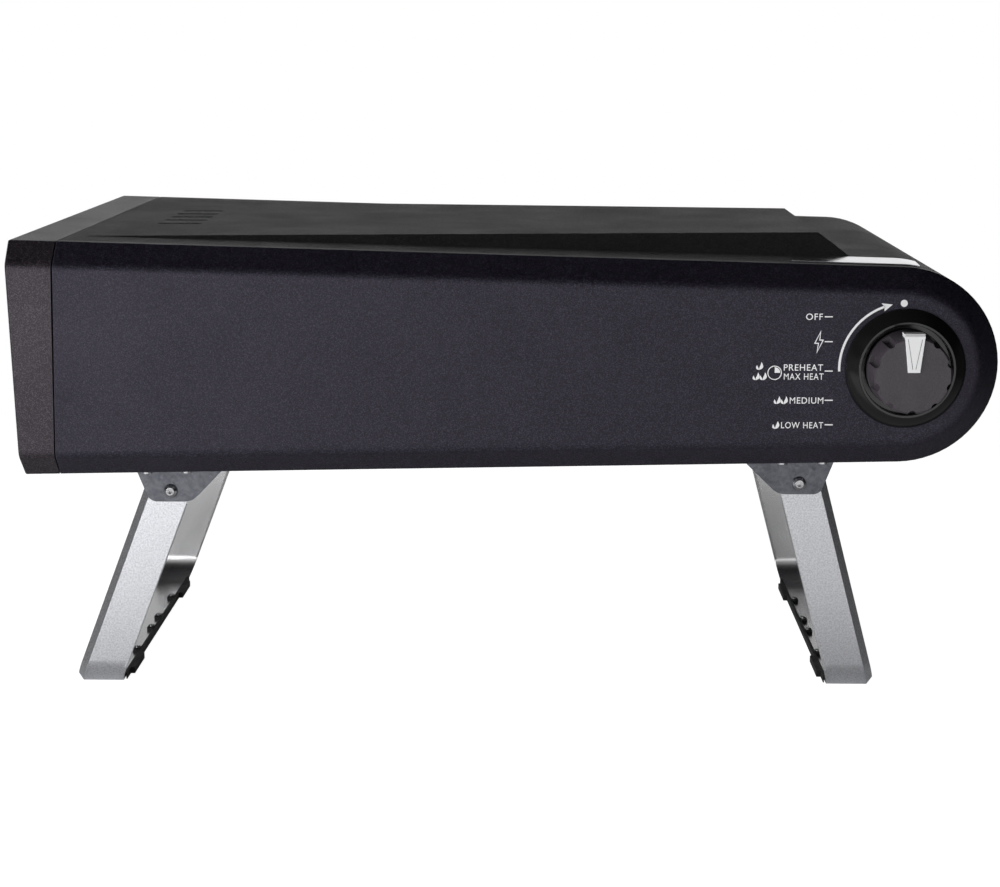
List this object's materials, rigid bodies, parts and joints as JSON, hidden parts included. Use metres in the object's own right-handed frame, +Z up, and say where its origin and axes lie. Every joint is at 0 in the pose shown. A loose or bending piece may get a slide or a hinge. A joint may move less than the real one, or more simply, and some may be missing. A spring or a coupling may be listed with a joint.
{
  "type": "countertop pizza oven",
  "caption": "Low wedge-shaped gas pizza oven with a half-round burner end, wide front mouth, side control knob and two fold-away U-shaped leg frames.",
  "frame": {"origin": "middle of the footprint's bounding box, knob included, on the surface the oven stands on", "axes": "+X from the mouth to the burner end, -Y towards the knob side, +Z up"},
  "size_m": [0.6225, 0.432, 0.304],
  "materials": {
    "cover_paint": "fine-textured matt black powder coat",
    "panel_paint": "fine-textured matt black-grey powder coat",
    "bezel_paint": "fine-textured matt black-brown powder coat",
    "bright_trim": "mirror-bright strip",
    "liner_steel": "stainless sheet",
    "galvanised_steel": "galvanised sheet, mottled grey",
    "cordierite": "matt beige refractory stone",
    "ceramic_wool": "white fibre blanket",
    "burner_steel": "heat-marked stainless tube",
    "valve_alloy": "die-cast, satin",
    "brass": "machined",
    "screw_steel": "bright zinc plated",
    "knob_plastic": "satin black-grey",
    "pointer_white": "white",
    "gloss_black": "black, semi-gloss",
    "leg_steel": "bead-blasted silver outside, smooth inside",
    "foot_rubber": "matt black",
    "bush_plastic": "black",
    "white_ceramic": "glazed",
    "lead_rubber": "red silicone insulation"
  },
  "bodies": {
    "casing": {"air_shutter": "galvanised_steel", "base_pan": "cover_paint", "bay_wall": "galvanised_steel", "bracket_screws": "screw_steel", "burner_hanger": "galvanised_steel", "burner_tube": "burner_steel", "flame_guard": "liner_steel", "floor_tray": "liner_steel", "front_bezel": "bezel_paint", "front_pivot_bushes": "bush_plastic", "front_pivot_nuts": "screw_steel", "front_pivot_screws": "screw_steel", "gas_inlet": "brass", "gas_jet": "brass", "gas_pipe": "valve_alloy", "igniter_electrode": "white_ceramic", "ignition_lead": "lead_rubber", "inlet_locknut": "brass", "insulation_left": "ceramic_wool", "insulation_right": "ceramic_wool", "insulation_roof": "ceramic_wool", "knob_bezel": "gloss_black", "leg_bracket_front_left": "galvanised_steel", "leg_bracket_front_right": "galvanised_steel", "leg_bracket_rear_left": "galvanised_steel", "leg_bracket_rear_right": "galvanised_steel", "oven_roof": "liner_steel", "piezo_igniter": "gloss_black", "rear_pivot_bushes": "bush_plastic", "rear_pivot_nuts": "screw_steel", "rear_pivot_screws": "screw_steel", "side_liner_left": "liner_steel", "side_liner_right": "liner_steel", "side_panel_left": "panel_paint", "side_panel_right": "panel_paint", "stone_rails": "liner_steel", "thermocouple": "brass", "top_cover": "cover_paint", "trim_strip": "bright_trim", "valve_body": "valve_alloy", "valve_bracket": "galvanised_steel", "valve_screws": "screw_steel", "valve_spring": "screw_steel", "venturi": "burner_steel"},
    "stone": {"baking_stone": "cordierite"},
    "plunger": {"valve_plunger": "brass"},
    "knob": {"knob": "knob_plastic", "knob_pointer": "pointer_white", "valve_stem": "brass"},
    "front_leg": {"front_leg": "leg_steel", "front_leg_rubber": "foot_rubber", "front_leg_screws": "screw_steel"},
    "rear_leg": {"rear_leg": "leg_steel", "rear_leg_rubber": "foot_rubber", "rear_leg_screws": "screw_steel"}
  },
  "joints": [
    {"name": "stone_slide", "type": "slide", "parent": "casing", "child": "stone", "axis": [1, 0, 0], "range_m": [-0.4, 0]},
    {"name": "knob_push", "type": "slide", "parent": "casing", "child": "plunger", "axis": [0, 1, 0], "range_m": [0, 0.003], "stiffness_N_per_m": 2500, "deforming": ["valve_spring"]},
    {"name": "knob_turn", "type": "hinge", "parent": "plunger", "child": "knob", "pos_m": [0.251, -0.184, 0.2262], "axis": [0, -1, 0], "range_deg": [0, 126]},
    {"name": "front_leg_fold", "type": "hinge", "parent": "casing", "child": "front_leg", "pos_m": [-0.219, 0.016, 0.136], "axis": [0, -1, 0], "range_deg": [0, 112]},
    {"name": "rear_leg_fold", "type": "hinge", "parent": "casing", "child": "rear_leg", "pos_m": [0.193, 0.016, 0.1425], "axis": [0, 1, 0], "range_deg": [0, 103.5]}
  ]
}
